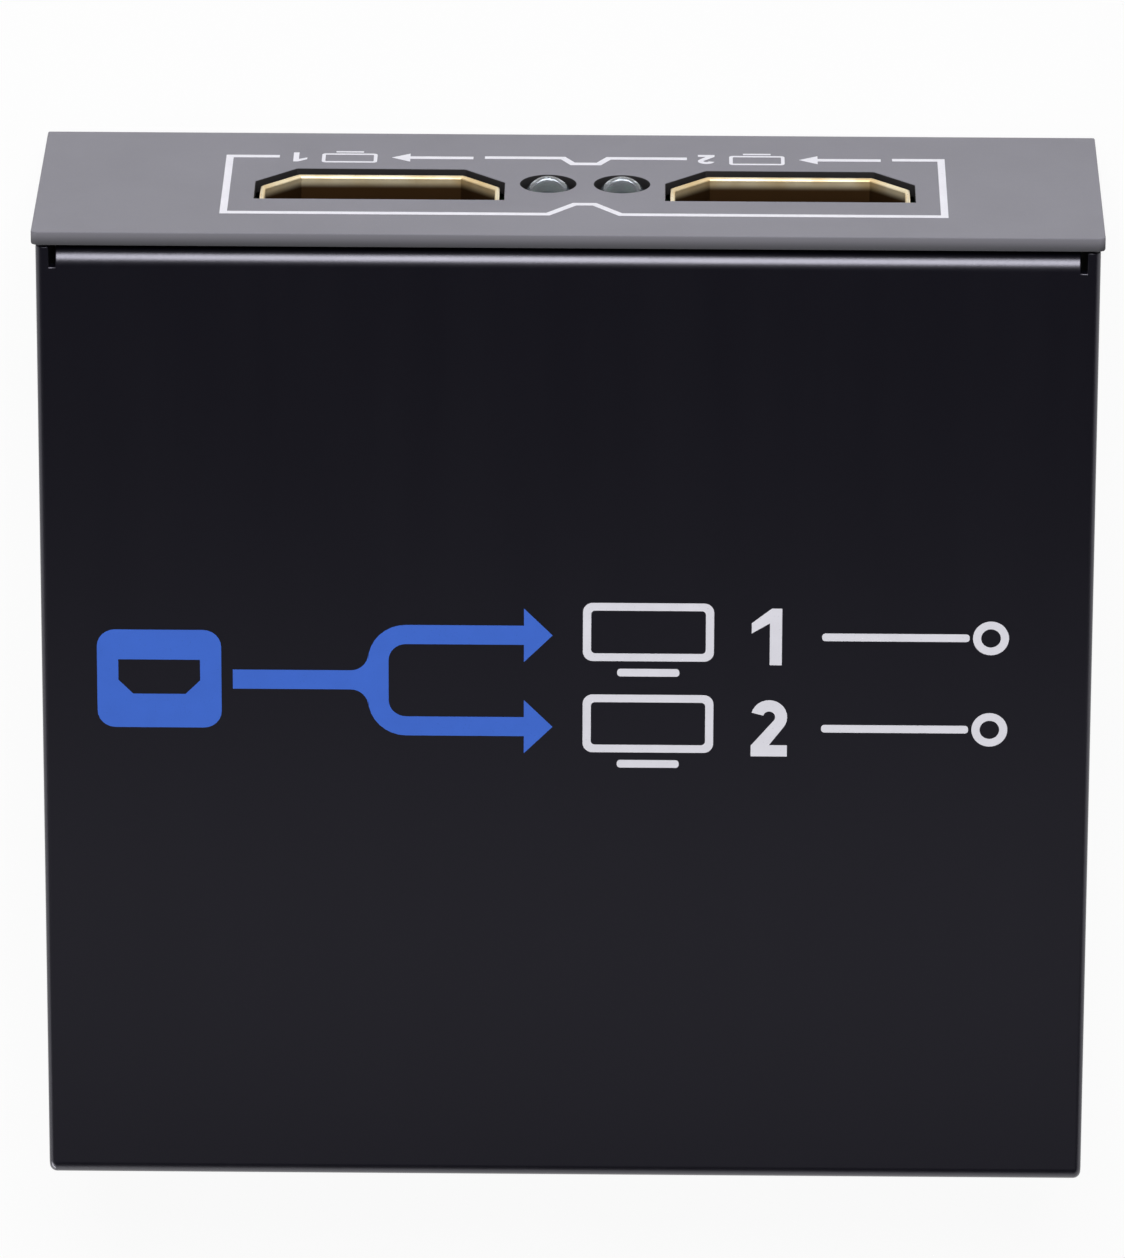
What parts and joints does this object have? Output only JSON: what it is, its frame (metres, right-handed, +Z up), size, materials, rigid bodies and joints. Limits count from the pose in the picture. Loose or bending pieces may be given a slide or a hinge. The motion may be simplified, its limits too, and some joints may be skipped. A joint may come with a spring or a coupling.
{
  "type": "video splitter box",
  "caption": "Low folded-steel video splitter box with a black cover, grey end panels, keyed video sockets, indicator lamps and a small power jack, standing on rubber feet.",
  "frame": {"origin": "centre of the footprint on the surface that the feet stand on", "axes": "+Z up out of the label face, +Y out of the output panel, +X to the right when the label is read from the input end"},
  "size_m": [0.0646, 0.063, 0.0215],
  "materials": {
    "grey_paint": "satin grey paint on folded steel sheet",
    "black_paint": "fine satin black paint on folded steel sheet",
    "black_steel": "black oxide",
    "foot_rubber": "matt moulded rubber",
    "plain_steel": "zinc plated",
    "board_laminate": "green solder mask on glass laminate",
    "gold_plate": "thin gold plate on drawn sheet",
    "socket_plastic": "moulded black plastic",
    "contact_gold": "gold plated contact strip",
    "lamp_epoxy": "clear cast epoxy",
    "tinned_lead": "bright tin plate",
    "jack_plastic": "moulded black plastic",
    "jack_metal": "nickel plate",
    "chip_epoxy": "moulded chip package",
    "can_aluminium": "drawn can",
    "capacitor_plastic": "moulded black plastic",
    "coil_ferrite": "sintered ferrite",
    "crystal_steel": "drawn can",
    "resistor_ceramic": "glazed chip",
    "capacitor_ceramic": "fired ceramic"
  },
  "bodies": {
    "root": {"chassis": "grey_paint", "cover": "black_paint", "cover_screws": "black_steel", "rubber_feet": "foot_rubber", "standoffs": "plain_steel", "circuit_board": "board_laminate", "board_screws": "plain_steel", "output_1_shell": "gold_plate", "output_1_insulator": "socket_plastic", "output_1_contacts": "contact_gold", "output_2_shell": "gold_plate", "output_2_insulator": "socket_plastic", "output_2_contacts": "contact_gold", "input_shell": "gold_plate", "input_insulator": "socket_plastic", "input_contacts": "contact_gold", "output_1_lamp": "lamp_epoxy", "output_2_lamp": "lamp_epoxy", "power_lamp": "lamp_epoxy", "lamp_leads": "tinned_lead", "jack_housing": "jack_plastic", "jack_pin": "jack_metal", "jack_spring_contact": "jack_metal", "splitter_chip": "chip_epoxy", "splitter_chip_leads": "tinned_lead", "memory_chips": "chip_epoxy", "controller_chip": "chip_epoxy", "small_chip_leads": "tinned_lead", "regulators": "chip_epoxy", "regulator_tabs": "tinned_lead", "capacitor_cans": "can_aluminium", "capacitor_bases": "capacitor_plastic", "power_coil": "coil_ferrite", "coil_core": "coil_ferrite", "crystal_can": "crystal_steel", "crystal_base": "crystal_steel", "chip_resistors": "resistor_ceramic", "chip_capacitors": "capacitor_ceramic", "passive_terminals": "tinned_lead"}
  },
  "joints": []
}
